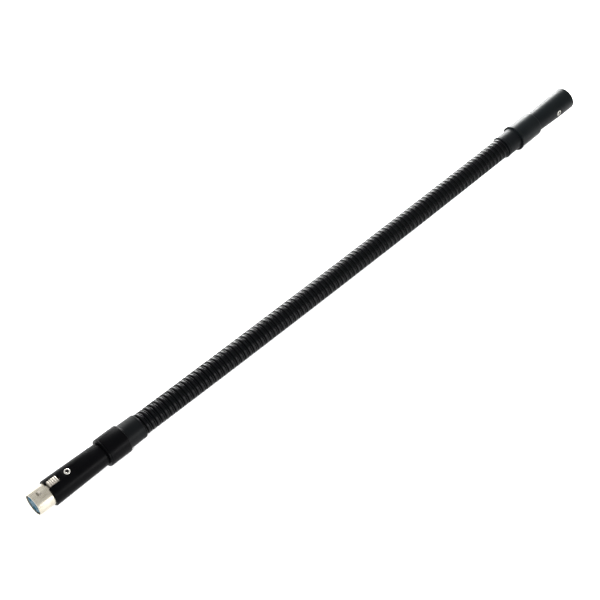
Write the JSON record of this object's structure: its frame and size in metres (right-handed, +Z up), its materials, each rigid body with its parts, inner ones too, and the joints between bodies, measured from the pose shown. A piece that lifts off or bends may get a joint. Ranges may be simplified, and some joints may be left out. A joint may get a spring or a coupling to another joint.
{
  "type": "gooseneck microphone arm",
  "caption": "Flexible ribbed gooseneck arm with a latching three-pole audio socket at one end and a three-pin plug at the other.",
  "frame": {"origin": "on the surface that the arm lies on, under the middle of its length and width", "axes": "+X from the socket end to the plug end, +Z up, with the latch tab on top of the socket"},
  "size_m": [0.5262, 0.0205, 0.0213],
  "materials": {
    "plug_black": "satin black coating with a faint cool sheen",
    "socket_black": "satin black coating",
    "sleeve_black": "satin black coating",
    "neck_black": "satin black coating on wound steel",
    "cable_jacket": "matt",
    "dark_insert": "moulded",
    "blue_insert": "moulded",
    "nickel": "bright nickel plate",
    "contact_metal": "silver-plated",
    "bush_metal": "nickel-plated, turned",
    "screw_metal": "bright zinc plate",
    "spring_steel": "bright wire",
    "lead_white": "insulation",
    "lead_red": "insulation",
    "lead_blue": "insulation"
  },
  "bodies": {
    "plug_end": {"male_housing": "plug_black", "male_insert": "dark_insert", "male_pin_1": "contact_metal", "male_pin_2": "contact_metal", "male_pin_3": "contact_metal", "male_screw": "screw_metal", "male_lead_1": "lead_white", "male_lead_2": "lead_red", "male_lead_3": "lead_blue", "male_bushing": "bush_metal", "male_collar": "plug_black", "male_sleeve": "sleeve_black", "neck_root": "neck_black", "cable_root": "cable_jacket"},
    "link_1": {"neck_link_1": "neck_black", "cable_link_1": "cable_jacket"},
    "link_2": {"neck_link_2": "neck_black", "cable_link_2": "cable_jacket"},
    "link_3": {"neck_link_3": "neck_black", "cable_link_3": "cable_jacket"},
    "link_4": {"neck_link_4": "neck_black", "cable_link_4": "cable_jacket"},
    "link_5": {"neck_link_5": "neck_black", "cable_link_5": "cable_jacket"},
    "link_6": {"neck_link_6": "neck_black", "cable_link_6": "cable_jacket"},
    "link_7": {"neck_link_7": "neck_black", "cable_link_7": "cable_jacket"},
    "link_8": {"neck_link_8": "neck_black", "cable_link_8": "cable_jacket"},
    "link_9": {"neck_link_9": "neck_black", "cable_link_9": "cable_jacket"},
    "socket_end": {"neck_tip": "neck_black", "cable_tip": "cable_jacket", "female_sleeve": "sleeve_black", "female_collar": "socket_black", "female_bushing": "bush_metal", "female_housing": "socket_black", "female_screw": "screw_metal", "female_lead_1": "lead_white", "female_lead_2": "lead_red", "female_lead_3": "lead_blue", "contact_carrier": "dark_insert", "female_contact_1": "contact_metal", "female_contact_2": "contact_metal", "female_contact_3": "contact_metal", "female_insert": "blue_insert", "female_shell": "nickel", "latch_pin": "spring_steel", "latch_spring": "spring_steel"},
    "latch": {"latch_lever": "nickel"}
  },
  "joints": [
    {"name": "neck_bend_1", "type": "hinge", "parent": "plug_end", "child": "link_1", "pos_m": [0.16285, 0, 0.00945], "axis": [0, 1, 0], "range_deg": [-27, 27]},
    {"name": "neck_bend_2", "type": "hinge", "parent": "link_1", "child": "link_2", "pos_m": [0.12767, 0, 0.00885], "axis": [0, 0, 1], "range_deg": [-27, 27]},
    {"name": "neck_bend_3", "type": "hinge", "parent": "link_2", "child": "link_3", "pos_m": [0.09248, 0, 0.0084], "axis": [0, 1, 0], "range_deg": [-27, 27]},
    {"name": "neck_bend_4", "type": "hinge", "parent": "link_3", "child": "link_4", "pos_m": [0.05729, 0, 0.0081], "axis": [0, 0, 1], "range_deg": [-27, 27]},
    {"name": "neck_bend_5", "type": "hinge", "parent": "link_4", "child": "link_5", "pos_m": [0.0221, 0, 0.00795], "axis": [0, 1, 0], "range_deg": [-27, 27]},
    {"name": "neck_bend_6", "type": "hinge", "parent": "link_5", "child": "link_6", "pos_m": [-0.0131, 0, 0.00794], "axis": [0, 0, 1], "range_deg": [-27, 27]},
    {"name": "neck_bend_7", "type": "hinge", "parent": "link_6", "child": "link_7", "pos_m": [-0.04829, 0, 0.00809], "axis": [0, 1, 0], "range_deg": [-27, 27]},
    {"name": "neck_bend_8", "type": "hinge", "parent": "link_7", "child": "link_8", "pos_m": [-0.08347, 0, 0.00838], "axis": [0, 0, 1], "range_deg": [-27, 27]},
    {"name": "neck_bend_9", "type": "hinge", "parent": "link_8", "child": "link_9", "pos_m": [-0.11867, 0, 0.00882], "axis": [0, 1, 0], "range_deg": [-27, 27]},
    {"name": "neck_bend_10", "type": "hinge", "parent": "link_9", "child": "socket_end", "pos_m": [-0.15385, 0, 0.00941], "axis": [0, 0, 1], "range_deg": [-27, 27]},
    {"name": "latch_press", "type": "hinge", "parent": "socket_end", "child": "latch", "pos_m": [-0.23989, 0, 0.01654], "axis": [0, -1, 0], "range_deg": [0, 3.6], "stiffness_Nm_per_rad": 0.3, "springref_deg": -3.44, "deforming": ["latch_spring"]}
  ]
}
